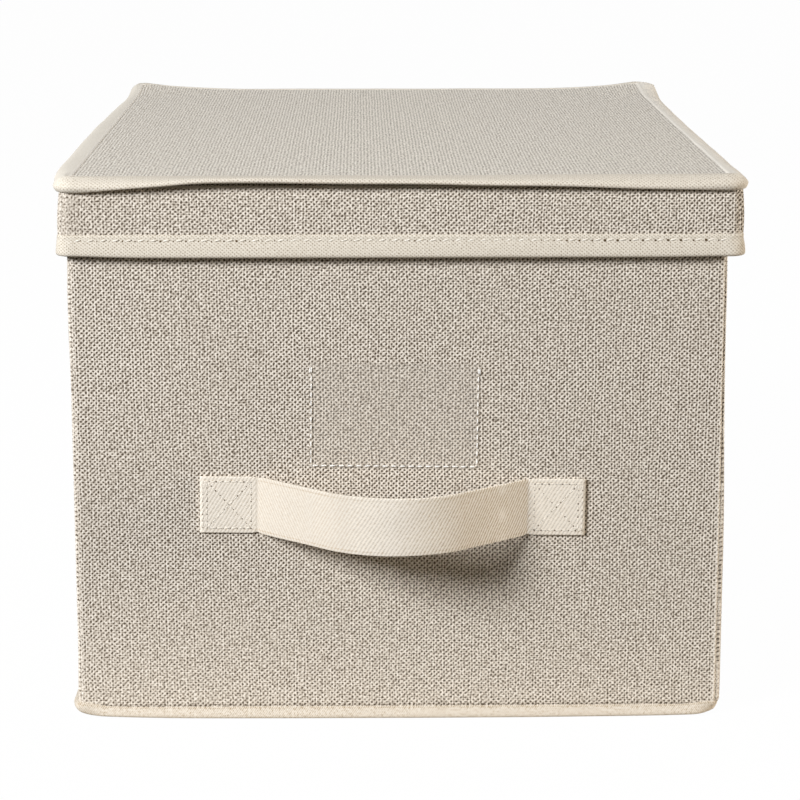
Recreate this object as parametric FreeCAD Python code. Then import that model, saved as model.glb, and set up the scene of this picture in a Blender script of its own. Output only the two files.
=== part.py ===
import FreeCAD, Part
import math
import os

# Fabric storage box with a lift-off lid. Millimetres, +Z up, +X to the right, the handle on
# the -Y side. The origin is the centre of the base, on the floor.

Vec = FreeCAD.Vector

# Box body
box_width = 381.0
box_depth = 508.0
box_height = 321.0
box_corner_radius = 5.0
base_lift = 7.2

# Layers of a wall, from the outside in
cover_thickness = 1.0
board_thickness = 2.5
lining_thickness = 0.5
rim_turn_depth = 16.0

# Loose base board, wrapped in lining cloth
insert_board_thickness = 2.5
insert_wrap_thickness = 0.5
insert_side_clearance = 2.0
insert_turn_width = 20.0

# Base seam: the bound edge that the box stands on, and how far its foot stands out of each wall
base_tape_thickness = 2.6
base_splay_front = 0.8
base_splay_right = -1.2
base_splay_back = 1.0
base_splay_left = 2.7
base_foot_radius = 9.0

# Lid
lid_drop = 46.2
lid_board_thickness = 2.7
skirt_board_thickness = 1.2
skirt_lining_thickness = 0.4
lid_corner_radius = 7.0
shoulder_run = 2.3
shoulder_rise = 2.0
shoulder_below_top = 8.5
lid_gap_left = 1.05
lid_gap_right = 3.95
lid_gap_front = 2.0
lid_gap_back = 2.0

# Bound edge that stands out round the top of the lid. Each list runs along one side, from
# corner to corner: how far along, as a share of that side, and how far the outer edge drops.
# The inner half of the tape takes the smaller share of that drop.
edge_tape_width = 13.0
edge_tape_thickness = 2.2
edge_nose = 0.9
edge_first_fall = 0.38
edge_seam_inset = 7.0
edge_root_radius = 3.0
edge_corner_reach = 1.3
front_drops = [(0.0, 7.0), (0.1, 4.6), (0.21, 0.7), (0.4, 0.3), (0.68, 2.3), (0.85, 4.5), (1.0, 6.0)]
right_drops = [(0.0, 6.0), (0.12, 3.9), (0.42, 4.7), (0.6, 3.9), (0.88, 3.0), (1.0, -1.0)]
back_drops = [(0.0, -1.0), (0.04, -4.0), (0.15, -0.8), (0.5, 0.0), (0.86, -0.6), (1.0, -4.2)]
left_drops = [(0.0, -3.8), (0.1, 3.0), (0.45, 1.9), (0.82, 2.1), (1.0, 6.8)]

# Bound hem of the lid's skirt
hem_width = 13.0
hem_outer_thickness = 1.4
hem_inner_thickness = 0.6
hem_fold = 0.8

# Webbing handle: tabs sewn flat, a crease, a straight flank and a round crest
handle_width = 34.0
handle_thickness = 1.8
handle_tab_length = 33.0
handle_free_span = 160.0
handle_crease_radius = 3.0
handle_flank_angle = 41.0
handle_crest_radius = 60.0
handle_centre_x = -3.5
handle_centre_below_rim = 190.0
handle_tilt = 0.65
handle_root_length = 18.0

# Clear label pocket
pocket_width = 100.0
pocket_height = 63.0
pocket_film = 0.3
pocket_centre_x = -2.8
pocket_above_handle = 5.3
pocket_tilt = 0.7
pocket_stitch_inset = 1.5

# Sewing thread: each visible stitch is a short flat bar that lies on the cloth
thread_width = 0.6
thread_height = 0.35
hem_stitch_pitch = 7.2
hem_stitch_length = 5.4
hem_stitch_below_edge = 3.2
small_stitch_pitch = 5.3
small_stitch_length = 3.9
tab_stitch_inset = 3.0

# Clearances between pieces that move apart, and between the bound edge and what it is sewn to
lift_clearance = 0.3
seam_clearance = 0.1

# The tightest bend that the inside of a corner can have
least_radius = 0.4

# Sizes that follow
half_width = box_width / 2
half_depth = box_depth / 2
wall_thickness = cover_thickness + board_thickness + lining_thickness
rim_thickness = wall_thickness + cover_thickness
wall_top = box_height - cover_thickness

handle_centre_height = box_height - handle_centre_below_rim
pocket_bottom_height = handle_centre_height + handle_width / 2 + pocket_above_handle
base_tuck = max(0, -base_splay_front, -base_splay_right, -base_splay_back, -base_splay_left)

skirt_thickness = cover_thickness + skirt_board_thickness + skirt_lining_thickness
lid_half_x = half_width + (lid_gap_left + lid_gap_right) / 2 + skirt_thickness
lid_half_y = half_depth + (lid_gap_front + lid_gap_back) / 2 + skirt_thickness
lid_centre_x = (lid_gap_right - lid_gap_left) / 2
lid_centre_y = (lid_gap_back - lid_gap_front) / 2
lid_under = box_height + lift_clearance
lid_lining_top = lid_under + lining_thickness
lid_board_top = lid_lining_top + lid_board_thickness
lid_top = lid_board_top + cover_thickness
lid_bottom = lid_top - lid_drop
skirt_bottom = lid_bottom + hem_fold
skirt_top = lid_top - shoulder_below_top
edge_root_x = lid_half_x - edge_seam_inset
edge_root_y = lid_half_y - edge_seam_inset

flank_angle = math.radians(handle_flank_angle)
half_span = handle_free_span / 2
flank_run = half_span - (handle_crease_radius + handle_crest_radius) * math.sin(flank_angle)
flank_length = flank_run / math.cos(flank_angle)
handle_bow = (
    (handle_crease_radius + handle_crest_radius) * (1 - math.cos(flank_angle))
    + flank_length * math.sin(flank_angle)
)
grip_half_length = half_span - handle_root_length
root_bow = (
    handle_crease_radius * (1 - math.cos(flank_angle))
    + (handle_root_length - handle_crease_radius * math.sin(flank_angle)) * math.tan(flank_angle)
)

SIDES = ["front", "right", "back", "left"]


def outline(x_low, x_high, y_low, y_high, radius, z):
    """A rectangle with round corners, as a closed wire at height z."""
    radius = max(radius, least_radius)
    bend = radius * (1 - math.sqrt(0.5))
    corners = [(x_low, y_low, 1, 1), (x_high, y_low, -1, 1), (x_high, y_high, -1, -1), (x_low, y_high, 1, -1)]
    arcs = []
    for x, y, to_x, to_y in corners:
        on_x_side = Vec(x + to_x * radius, y, z)
        on_y_side = Vec(x, y + to_y * radius, z)
        middle = Vec(x + to_x * bend, y + to_y * bend, z)
        ends = [on_y_side, on_x_side] if to_x == to_y else [on_x_side, on_y_side]
        arcs.append(Part.Arc(ends[0], middle, ends[1]))
    edges = []
    for arc, following in zip(arcs, arcs[1:] + arcs[:1]):
        edges.append(arc.toShape())
        edges.append(Part.makeLine(arc.EndPoint, following.StartPoint))
    return Part.Wire(edges)


def slab(half_x, half_y, radius, z_low, z_high):
    """A flat plate with round corners, centred on the Z axis."""
    face = Part.Face(outline(-half_x, half_x, -half_y, half_y, radius, z_low))
    return face.extrude(Vec(0, 0, z_high - z_low))


def ring(half_x, half_y, radius, thickness, z_low, z_high):
    """An upright wall that goes all round, given by its outer face."""
    inner = slab(half_x - thickness, half_y - thickness, radius - thickness, z_low, z_high)
    return slab(half_x, half_y, radius, z_low, z_high).cut(inner)


def mitre_block(side, half_x, half_y):
    """The space that one side of a ring fills, between planes at 45 degrees through its corners."""
    reach = 20.0
    depth = 60.0
    near_x = half_x + reach
    near_y = half_y + reach
    far_x = half_x - depth
    far_y = half_y - depth
    plans = {
        "front": [(-near_x, -near_y), (near_x, -near_y), (far_x, -far_y), (-far_x, -far_y)],
        "right": [(near_x, -near_y), (near_x, near_y), (far_x, far_y), (far_x, -far_y)],
        "back": [(near_x, near_y), (-near_x, near_y), (-far_x, far_y), (far_x, far_y)],
        "left": [(-near_x, near_y), (-near_x, -near_y), (-far_x, -far_y), (-far_x, far_y)],
    }
    points = [Vec(x, y, -reach) for x, y in plans[side]]
    face = Part.Face(Part.makePolygon(points + points[:1]))
    return face.extrude(Vec(0, 0, box_height + lid_drop + 2 * reach))


def panels(ring_shape, half_x, half_y):
    """A ring cut into its four sides at the corner seams."""
    return {side: ring_shape.common(mitre_block(side, half_x, half_y)) for side in SIDES}


def flat_board(side, face_x, face_y, thickness, end_gap, z_low, z_high):
    """A stiff board behind one side, clear of the round corners at its ends."""
    height = z_high - z_low
    if side in ("front", "back"):
        length = 2 * (face_x - end_gap)
        y = -face_y if side == "front" else face_y - thickness
        return Part.makeBox(length, thickness, height, Vec(-length / 2, y, z_low))
    length = 2 * (face_y - end_gap)
    x = face_x - thickness if side == "right" else -face_x
    return Part.makeBox(thickness, length, height, Vec(x, -length / 2, z_low))


def on_lid(shape):
    """Moves a shape that was drawn about the Z axis to where the lid sits on the box."""
    return shape.translated(Vec(lid_centre_x, lid_centre_y, 0))


def save(name, shape):
    shape.exportStep("parts/" + name + ".step")
    states = [solid.isValid() for solid in shape.Solids]
    print(name, "solids", len(states), "valid", all(states), "volume", round(shape.Volume, 1))


def box_walls():
    """Cover cloth turned over the rim, a board behind each side, and the lining inside."""
    cover = ring(half_width, half_depth, box_corner_radius, cover_thickness, base_lift, box_height)
    lip = ring(half_width, half_depth, box_corner_radius, rim_thickness, wall_top, box_height)
    turn = ring(
        half_width - wall_thickness,
        half_depth - wall_thickness,
        box_corner_radius - wall_thickness,
        cover_thickness,
        box_height - rim_turn_depth,
        wall_top,
    )
    cover = cover.fuse([lip, turn]).removeSplitter()
    board_x = half_width - cover_thickness
    board_y = half_depth - cover_thickness
    lining_x = board_x - board_thickness
    lining_y = board_y - board_thickness
    lining_radius = box_corner_radius - cover_thickness - board_thickness
    lining = ring(lining_x, lining_y, lining_radius, lining_thickness, base_lift, wall_top)
    cover_panels = panels(cover, half_width, half_depth)
    lining_panels = panels(lining, lining_x, lining_y)
    for side in SIDES:
        save(side + "_cover", cover_panels[side])
        board = flat_board(
            side, board_x, board_y, board_thickness, box_corner_radius, base_lift, wall_top
        )
        save(side + "_board", board)
        save(side + "_lining", lining_panels[side])


def base_seam():
    """The bound edge under the walls, splayed out towards its foot, and the base cloth inside it."""
    foot = outline(
        -half_width - base_splay_left,
        half_width + base_splay_right,
        -half_depth - base_splay_front,
        half_depth + base_splay_back,
        base_foot_radius,
        0,
    )
    head = outline(-half_width, half_width, -half_depth, half_depth, box_corner_radius, base_lift)
    inner_foot = outline(
        -half_width - base_splay_left + base_tape_thickness,
        half_width + base_splay_right - base_tape_thickness,
        -half_depth - base_splay_front + base_tape_thickness,
        half_depth + base_splay_back - base_tape_thickness,
        base_foot_radius - base_tape_thickness,
        0,
    )
    inner_head = outline(
        -half_width + base_tape_thickness,
        half_width - base_tape_thickness,
        -half_depth + base_tape_thickness,
        half_depth - base_tape_thickness,
        box_corner_radius - base_tape_thickness,
        base_lift,
    )
    outside = Part.makeLoft([foot, head], True, True)
    inside = Part.makeLoft([inner_foot, inner_head], True, True)
    save("base_binding", outside.cut(inside))
    inset = base_tape_thickness + base_tuck + seam_clearance
    base_x = half_width - inset
    base_y = half_depth - inset
    base = slab(base_x, base_y, box_corner_radius, base_lift - cover_thickness, base_lift)
    save("base_cover", base)


def base_insert():
    """The loose board that lies on the base cloth, with its wrapping turned under all round."""
    half_x = half_width - rim_thickness - insert_side_clearance
    half_y = half_depth - rim_thickness - insert_side_clearance
    bottom = base_lift + lift_clearance
    board_bottom = bottom + insert_wrap_thickness
    board_top = board_bottom + insert_board_thickness
    top = board_top + insert_wrap_thickness
    board_x = half_x - insert_wrap_thickness
    board_y = half_y - insert_wrap_thickness
    radius = 2.0
    board = slab(board_x, board_y, radius, board_bottom, board_top)
    wrap = slab(half_x, half_y, radius + insert_wrap_thickness, bottom, top).cut(board)
    open_x = half_x - insert_turn_width
    open_y = half_y - insert_turn_width
    wrap = wrap.cut(slab(open_x, open_y, radius, bottom, board_bottom))
    save("insert_board", board)
    save("insert_wrap", wrap)


def lid_shell():
    """Top panel of cloth, board and lining, and the four sides of the skirt."""
    top_x = edge_root_x - seam_clearance
    top_y = edge_root_y - seam_clearance
    levels = [
        ("lid_top_lining", lid_under, lid_lining_top),
        ("lid_top_board", lid_lining_top, lid_board_top),
        ("lid_top_cover", lid_board_top, lid_top),
    ]
    for name, z_low, z_high in levels:
        save(name, on_lid(slab(top_x, top_y, edge_root_radius, z_low, z_high)))

    skirt = ring(lid_half_x, lid_half_y, lid_corner_radius, cover_thickness, skirt_bottom, skirt_top)
    shoulder_x = lid_half_x - shoulder_run
    shoulder_y = lid_half_y - shoulder_run
    shoulder_radius = lid_corner_radius - shoulder_run
    loft = []
    for inset in (0, cover_thickness):
        low = outline(
            -lid_half_x + inset,
            lid_half_x - inset,
            -lid_half_y + inset,
            lid_half_y - inset,
            lid_corner_radius - inset,
            skirt_top,
        )
        high = outline(
            -shoulder_x + inset,
            shoulder_x - inset,
            -shoulder_y + inset,
            shoulder_y - inset,
            shoulder_radius - inset,
            skirt_top + shoulder_rise,
        )
        loft.append(Part.makeLoft([low, high], True, True))
    skirt = skirt.fuse(loft[0].cut(loft[1])).removeSplitter()
    skirt_panels = panels(skirt, lid_half_x, lid_half_y)
    board_x = lid_half_x - cover_thickness
    board_y = lid_half_y - cover_thickness
    for side in SIDES:
        save("lid_" + side + "_cover", on_lid(skirt_panels[side]))
        board = flat_board(
            side,
            board_x,
            board_y,
            skirt_board_thickness,
            lid_corner_radius,
            skirt_bottom,
            skirt_top - cover_thickness,
        )
        save("lid_" + side + "_board", on_lid(board))
    lining = ring(
        board_x - skirt_board_thickness,
        board_y - skirt_board_thickness,
        lid_corner_radius - cover_thickness - skirt_board_thickness,
        skirt_lining_thickness,
        skirt_bottom,
        skirt_top,
    )
    save("lid_skirt_lining", on_lid(lining))


def lid_hem():
    """Tape folded round the lower edge of the skirt, one leg outside and one inside."""
    hem_top = lid_bottom + hem_width
    outside = slab(
        lid_half_x + hem_outer_thickness,
        lid_half_y + hem_outer_thickness,
        lid_corner_radius + hem_outer_thickness,
        lid_bottom,
        hem_top,
    )
    inset = skirt_thickness + hem_inner_thickness
    inside = slab(
        lid_half_x - inset, lid_half_y - inset, lid_corner_radius - inset, lid_bottom, hem_top
    )
    wall = ring(lid_half_x, lid_half_y, lid_corner_radius, skirt_thickness, skirt_bottom, hem_top)
    save("lid_hem_binding", on_lid(outside.cut(inside).cut(wall)))


def drop_at(drops, share):
    """The drop of the outer edge part way along a side, eased from one listed place to the next."""
    for (start, low), (end, high) in zip(drops, drops[1:]):
        if share <= end:
            t = (share - start) / (end - start)
            return low + (high - low) * t * t * (3 - 2 * t)
    return drops[-1][1]


def edge_section(root, out, drop, reach):
    """Cross-section of the bound edge along the unit vector out: two halves, the outer one steeper."""
    half = edge_tape_width / 2
    upper = [root]
    lower = []
    for share in (edge_first_fall, 1 - edge_first_fall):
        fall = drop * share
        along = out * reach * math.sqrt(half ** 2 - fall ** 2) - Vec(0, 0, fall)
        slope = fall / along.Length
        upper.append(upper[-1] + along)
        lower.append(upper[-2] - Vec(0, 0, edge_tape_thickness / math.sqrt(1 - slope ** 2)))
    along.normalize()
    down = out * along.z - Vec(0, 0, math.hypot(along.x, along.y))
    lower.append(upper[-1] + down * edge_tape_thickness)
    nose = upper[-1] + down * (edge_tape_thickness / 2) + along * edge_nose
    points = upper + [nose] + lower[::-1]
    return Part.makePolygon(points + points[:1])


def lid_edge():
    """The bound seam round the top of the lid, lifted along the front and curled at the back."""
    drops = [front_drops, right_drops, back_drops, left_drops]
    turn_x = edge_root_x - edge_root_radius
    turn_y = edge_root_y - edge_root_radius
    starts = [Vec(-turn_x, -turn_y, 0), Vec(turn_x, -turn_y, 0), Vec(turn_x, turn_y, 0), Vec(-turn_x, turn_y, 0)]
    sections = []
    for number, side_drops in enumerate(drops):
        start = starts[number]
        end = starts[(number + 1) % 4]
        facing = math.radians(-90 + 90 * number)
        out = Vec(math.cos(facing), math.sin(facing), 0)
        for share, drop in side_drops:
            root = start + (end - start) * share + out * edge_root_radius
            root.z = lid_top
            sections.append(edge_section(root, out, drop, 1.0))
        following = drops[(number + 1) % 4][0][1]
        corner_drop = (side_drops[-1][1] + following) / 2
        corner_reaches = [(22.5, 1 / math.cos(math.radians(22.5))), (45, edge_corner_reach)]
        corner_reaches.append((67.5, corner_reaches[0][1]))
        for turn, reach in corner_reaches:
            angle = facing + math.radians(turn)
            out_corner = Vec(math.cos(angle), math.sin(angle), 0)
            root = end + out_corner * edge_root_radius
            root.z = lid_top
            sections.append(edge_section(root, out_corner, corner_drop, reach))
    return sections


def edge_ring(sections):
    """Closed skin of flat triangles and the solid inside it, through sections that go all round."""
    faces = []
    for section, following in zip(sections, sections[1:] + sections[:1]):
        near = [vertex.Point for vertex in section.OrderedVertexes]
        far = [vertex.Point for vertex in following.OrderedVertexes]
        for i in range(len(near)):
            j = (i + 1) % len(near)
            for corners in ((near[i], near[j], far[j]), (near[i], far[j], far[i])):
                faces.append(Part.Face(Part.makePolygon(list(corners) + [corners[0]])))
    solid = Part.Solid(Part.Shell(faces))
    return solid if solid.Volume > 0 else solid.reversed()


def strap_side(offset):
    """One face of the strap seen from above: u along the wall, v out from it, in order from the left."""
    crease = handle_crease_radius - offset
    crest = handle_crest_radius + offset

    def crease_point(sign, angle):
        u = half_span - crease * math.sin(angle)
        return (sign * u, handle_crease_radius - crease * math.cos(angle))

    def crest_point(angle):
        return (crest * math.sin(angle), handle_bow - handle_crest_radius + crest * math.cos(angle))

    end = half_span + handle_tab_length
    left = [
        (-end, offset),
        crease_point(-1, 0),
        crease_point(-1, flank_angle / 2),
        crease_point(-1, flank_angle),
        crest_point(-flank_angle),
    ]
    right = [(-u, v) for u, v in reversed(left)]
    return left + [crest_point(0)] + right


def strap_edges(points, y_face, height):
    """Lines and arcs through the points of one side of the strap."""
    p = [Vec(u, y_face - v, height) for u, v in points]
    return [
        Part.makeLine(p[0], p[1]),
        Part.Arc(p[1], p[2], p[3]).toShape(),
        Part.makeLine(p[3], p[4]),
        Part.Arc(p[4], p[5], p[6]).toShape(),
        Part.makeLine(p[6], p[7]),
        Part.Arc(p[7], p[8], p[9]).toShape(),
        Part.makeLine(p[9], p[10]),
    ]


def tilted(shape, centre_x, height, degrees):
    """Moves a shape drawn about the wall's middle to its place and tips it in the wall's plane."""
    moved = shape.translated(Vec(centre_x, 0, height))
    moved.rotate(Vec(centre_x, 0, height), Vec(0, 1, 0), degrees)
    return moved


def handle():
    """One length of webbing, as two sewn ends and the grip between them that swings."""
    middle_y = -half_depth - handle_thickness / 2
    low = -handle_width / 2
    outer = strap_edges(strap_side(handle_thickness / 2), middle_y, low)
    inner = strap_edges(strap_side(-handle_thickness / 2), middle_y, low)
    caps = []
    for index in (0, -1):
        caps.append(Part.makeLine(outer[index].Vertexes[index].Point, inner[index].Vertexes[index].Point))
    face = Part.Face(Part.Wire(Part.__sortEdges__(outer + inner + caps)))
    strap = face.extrude(Vec(0, 0, handle_width))
    reach = half_span + handle_tab_length + 10
    depth = handle_bow + 20
    split = grip_half_length + lift_clearance / 2
    grip_length = 2 * (grip_half_length - lift_clearance / 2)
    base_y = -half_depth - depth + 5
    grip_block = Part.makeBox(
        grip_length, depth, 2 * handle_width, Vec(-grip_length / 2, base_y, -handle_width)
    )
    blocks = {
        "handle_end_left": Part.makeBox(
            reach - split, depth, 2 * handle_width, Vec(-reach, base_y, -handle_width)
        ),
        "handle_end_right": Part.makeBox(
            reach - split, depth, 2 * handle_width, Vec(split, base_y, -handle_width)
        ),
        "handle_grip": grip_block,
    }
    for name, block in blocks.items():
        piece = strap.common(block)
        save(name, tilted(piece, handle_centre_x, handle_centre_height, handle_tilt))


def bar(start, end, y_face):
    """One stitch on a wall that faces -Y, from start to end, each (x, z)."""
    dx = end[0] - start[0]
    dz = end[1] - start[1]
    length = math.hypot(dx, dz)
    stitch = Part.makeBox(length, thread_height, thread_width, Vec(0, y_face - thread_height, -thread_width / 2))
    stitch.rotate(Vec(0, 0, 0), Vec(0, 1, 0), -math.degrees(math.atan2(dz, dx)))
    return stitch.translated(Vec(start[0], 0, start[1]))


def stitch_line(start, end, pitch, length, y_face):
    """Evenly spaced stitches from one point to another, each (x, z), on a wall that faces -Y."""
    run = math.hypot(end[0] - start[0], end[1] - start[1])
    count = max(1, int(run / pitch))
    across = ((end[0] - start[0]) / run, (end[1] - start[1]) / run)
    stitches = []
    for number in range(count):
        middle = (number + 0.5) * run / count
        low = middle - length / 2
        high = middle + length / 2
        first = (start[0] + across[0] * low, start[1] + across[1] * low)
        last = (start[0] + across[0] * high, start[1] + across[1] * high)
        stitches.append(bar(first, last, y_face))
    return stitches


def handle_thread():
    """A rectangle and two diagonals sewn through each tab."""
    y_face = -half_depth - handle_thickness
    inner = half_span + tab_stitch_inset
    outer = half_span + handle_tab_length - tab_stitch_inset
    top = handle_width / 2 - tab_stitch_inset
    end_room = small_stitch_pitch / 3
    stitches = []
    for sign in (-1, 1):
        a = sign * inner
        b = sign * outer
        step_a = a + sign * end_room
        step_b = b - sign * end_room
        lines = [
            ((step_a, top), (step_b, top)),
            ((step_a, -top), (step_b, -top)),
            ((a, -top + end_room), (a, top - end_room)),
            ((b, -top + end_room), (b, top - end_room)),
        ]
        middle = (a + b) / 2
        for corner_x in (a, b):
            for corner_z in (-top, top):
                near = (corner_x + (middle - corner_x) * 0.2, corner_z * 0.8)
                far = (corner_x + (middle - corner_x) * 0.88, corner_z * 0.12)
                lines.append((near, far))
        for start, end in lines:
            stitches += stitch_line(start, end, small_stitch_pitch, small_stitch_length, y_face)
    thread = Part.makeCompound(stitches)
    save("handle_thread", tilted(thread, handle_centre_x, handle_centre_height, handle_tilt))


def label_pocket():
    """Clear film sewn to the front on three sides and open at the top, with its thread."""
    low_x = -pocket_width / 2
    film = Part.makeBox(pocket_width, pocket_film, pocket_height, Vec(low_x, -half_depth - pocket_film, 0))
    save("label_pocket", tilted(film, pocket_centre_x, pocket_bottom_height, pocket_tilt))
    y_face = -half_depth - pocket_film
    side = pocket_width / 2 - pocket_stitch_inset
    low = pocket_stitch_inset
    high = pocket_height - pocket_stitch_inset
    end_room = small_stitch_pitch / 3
    lines = [
        ((-side, low + end_room), (-side, high)),
        ((side, low + end_room), (side, high)),
        ((-side + end_room, low), (side - end_room, low)),
    ]
    stitches = []
    for start, end in lines:
        stitches += stitch_line(start, end, small_stitch_pitch, small_stitch_length, y_face)
    thread = Part.makeCompound(stitches)
    save("pocket_thread", tilted(thread, pocket_centre_x, pocket_bottom_height, pocket_tilt))


def hem_thread():
    """The row of stitches that holds the hem tape, all round the skirt."""
    z = lid_bottom + hem_width - hem_stitch_below_edge
    face_x = lid_half_x + hem_outer_thickness
    face_y = lid_half_y + hem_outer_thickness
    straight_x = lid_half_x - lid_corner_radius
    straight_y = lid_half_y - lid_corner_radius
    stitches = []
    for number, (half_length, face) in enumerate([(straight_x, face_y), (straight_y, face_x)] * 2):
        row = stitch_line((-half_length, z), (half_length, z), hem_stitch_pitch, hem_stitch_length, -face)
        for stitch in row:
            stitch.rotate(Vec(0, 0, 0), Vec(0, 0, 1), 90 * number)
            stitches.append(stitch)
    save("lid_hem_thread", on_lid(Part.makeCompound(stitches)))


box_walls()
base_seam()
base_insert()
lid_shell()
lid_hem()
save("lid_edge_binding", on_lid(edge_ring(lid_edge())))
handle()
handle_thread()
label_pocket()
hem_thread()
print("handle bow", round(handle_bow, 2), "webbing between tabs", round(
    2 * flank_length + 2 * flank_angle * (handle_crease_radius + handle_crest_radius), 1))
pivot_y = -half_depth - handle_thickness / 2 - root_bow
print("handle pivot", handle_centre_x, round(pivot_y, 3), handle_centre_height)
print("lid", lid_half_x, lid_half_y, lid_centre_x, lid_bottom, lid_top)
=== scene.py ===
import math
import random
import bmesh
import bpy
from mathutils import Matrix, Vector, noise
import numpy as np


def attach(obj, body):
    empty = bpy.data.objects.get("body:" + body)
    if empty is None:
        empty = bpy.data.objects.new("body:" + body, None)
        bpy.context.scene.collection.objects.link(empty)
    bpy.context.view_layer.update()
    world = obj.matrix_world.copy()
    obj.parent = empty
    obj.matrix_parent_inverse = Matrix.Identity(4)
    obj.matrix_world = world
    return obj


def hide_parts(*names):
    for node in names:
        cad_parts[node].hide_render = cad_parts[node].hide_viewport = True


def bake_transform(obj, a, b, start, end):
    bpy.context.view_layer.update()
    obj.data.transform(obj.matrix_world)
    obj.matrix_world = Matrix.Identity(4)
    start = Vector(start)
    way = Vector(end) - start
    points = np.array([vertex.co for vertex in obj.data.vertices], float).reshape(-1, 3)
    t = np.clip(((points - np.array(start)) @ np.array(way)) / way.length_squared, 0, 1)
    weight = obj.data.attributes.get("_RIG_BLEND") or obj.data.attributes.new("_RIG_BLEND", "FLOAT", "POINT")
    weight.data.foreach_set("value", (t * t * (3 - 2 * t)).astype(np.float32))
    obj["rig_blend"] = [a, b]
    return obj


# A fabric storage box with a lift-off lid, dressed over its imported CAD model. Metres, +Z up, the
# handle on the -Y side, and the origin at the centre of the base on the floor.
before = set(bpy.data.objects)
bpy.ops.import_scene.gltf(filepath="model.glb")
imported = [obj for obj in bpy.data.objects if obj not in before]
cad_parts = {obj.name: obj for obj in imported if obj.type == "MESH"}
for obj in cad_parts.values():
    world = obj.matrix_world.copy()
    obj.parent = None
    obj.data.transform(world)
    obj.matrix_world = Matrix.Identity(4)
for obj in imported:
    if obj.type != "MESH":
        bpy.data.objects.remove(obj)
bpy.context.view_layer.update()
scene = bpy.context.scene


# Studio: a large soft lamp from the front left, a warm reflector at the right, a weak lamp from
# behind, and the camera where the photograph was taken from. The floor is white for the camera, and
# gives back a little warm light close to the box.
class Shade:
    """One value in a node tree. Arithmetic on it adds Math nodes; node() adds any other node."""

    def __init__(self, socket):
        self.socket = socket
        self.tree = socket.id_data

    def node(self, kind, settings=None, values=None, output=0):
        """Adds a node, its settings first, and returns one of its outputs."""
        made = self.tree.nodes.new("ShaderNode" + kind)
        for name, value in (settings or {}).items():
            if name == "stops":
                ramp = made.color_ramp
                while len(ramp.elements) < len(value):
                    ramp.elements.new(0.5)
                for element, (position, colour) in zip(ramp.elements, value):
                    element.position = position
                    element.color = colour
            else:
                setattr(made, name, value)
        for name, value in (values or {}).items():
            if isinstance(value, Shade):
                self.tree.links.new(value.socket, made.inputs[name])
            else:
                made.inputs[name].default_value = value
        return Shade(made.outputs[output]) if len(made.outputs) else None

    def other(self, output):
        """Another output of the node that this value comes from."""
        return Shade(self.socket.node.outputs[output])

    def mottle(self, scale, detail, flat=False, output=0):
        """Noise over these coordinates, in two dimensions for a cloth's own map."""
        settings = {"noise_dimensions": "2D"} if flat else None
        return self.node("TexNoise", settings, {"Vector": self, "Scale": scale, "Detail": detail}, output)

    def carried(self, name):
        """A value that the mesh carries from point to point."""
        return self.node("Attribute", {"attribute_name": name}, output="Fac")

    def maths(self, operation, *others):
        values = dict(enumerate((self,) + others))
        return self.node("Math", {"operation": operation}, values)

    def held(self, most=1):
        """This value, held between 0 and most."""
        return self.maths("MAXIMUM", 0).maths("MINIMUM", most)

    def __add__(self, other):
        return self.maths("ADD", other)

    def __radd__(self, other):
        return self.maths("ADD", other)

    def __sub__(self, other):
        return self.maths("SUBTRACT", other)

    def __rsub__(self, other):
        return self.node("Math", {"operation": "SUBTRACT"}, {0: other, 1: self})

    def __mul__(self, other):
        return self.maths("MULTIPLY", other)

    def __rmul__(self, other):
        return self.maths("MULTIPLY", other)

    def __truediv__(self, other):
        return self.maths("DIVIDE", other)


def paint(red, green, blue):
    """A colour in the 0 to 255 steps of a picture, as a shader takes it."""
    steps = [value / 255 for value in (red, green, blue)]
    return tuple(s / 12.92 if s < 0.04045 else ((s + 0.055) / 1.055) ** 2.4 for s in steps) + (1.0,)


def new_finish(name, coordinates="UV"):
    """An empty material and the coordinates that its pattern starts from."""
    finish = bpy.data.materials.new(name)
    finish.use_nodes = True
    finish.node_tree.nodes.clear()
    places = finish.node_tree.nodes.new("ShaderNodeTexCoord")
    return finish, Shade(places.outputs[coordinates])


def lamp(name, watts, size, place, aim, colour=(1.0, 1.0, 1.0)):
    """A soft square lamp that shines from place towards aim."""
    light = bpy.data.lights.new(name, "AREA")
    light.energy = watts
    light.color = colour
    light.size = size
    holder = bpy.data.objects.new(name, light)
    holder.location = place
    holder.rotation_euler = (Vector(aim) - Vector(place)).to_track_quat("-Z", "Y").to_euler()
    scene.collection.objects.link(holder)


scene.view_settings.view_transform = "Standard"
camera = bpy.data.objects.new("camera", bpy.data.cameras.new("camera"))
camera.data.lens = 116.13
camera.data.sensor_width = 36.0
camera.location = (-0.02202, -1.72033, 0.5143)
camera.rotation_euler = (math.radians(77.69), 0, math.radians(-0.89))
scene.collection.objects.link(camera)
scene.camera = camera

lamp("key_lamp", 208.0, 1.2, (-2.4725, -2.6605, 2.0045), (0, -0.28, 0.13))
lamp("reflector", 54.0, 1.0, (2.47, -0.5, 0.35), (0, -0.25, 0.13), (1.0, 0.9, 0.77))
lamp("back_lamp", 10.5, 1.2, (0.5, 1.5, 2.0), (0, 0, 0.3))

air = bpy.data.worlds.new("studio_air")
scene.world = air
air.use_nodes = True
air.node_tree.nodes.clear()
seen = Shade(air.node_tree.nodes.new("ShaderNodeLightPath").outputs["Is Camera Ray"])
mirrored = seen.other("Is Glossy Ray")
through = seen.other("Is Transmission Ray")
white_for = seen.maths("MAXIMUM", mirrored).maths("MAXIMUM", through)
soft_light = seen.node("Background", values={"Color": (1.0, 0.86, 0.68, 1.0), "Strength": 0.034})
white_air = seen.node("Background", values={"Color": (1.0, 1.0, 1.0, 1.0), "Strength": 1.0})
air_mix = seen.node("MixShader", values={0: white_for, 1: soft_light, 2: white_air})
seen.node("OutputWorld", values={"Surface": air_mix})

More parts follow.
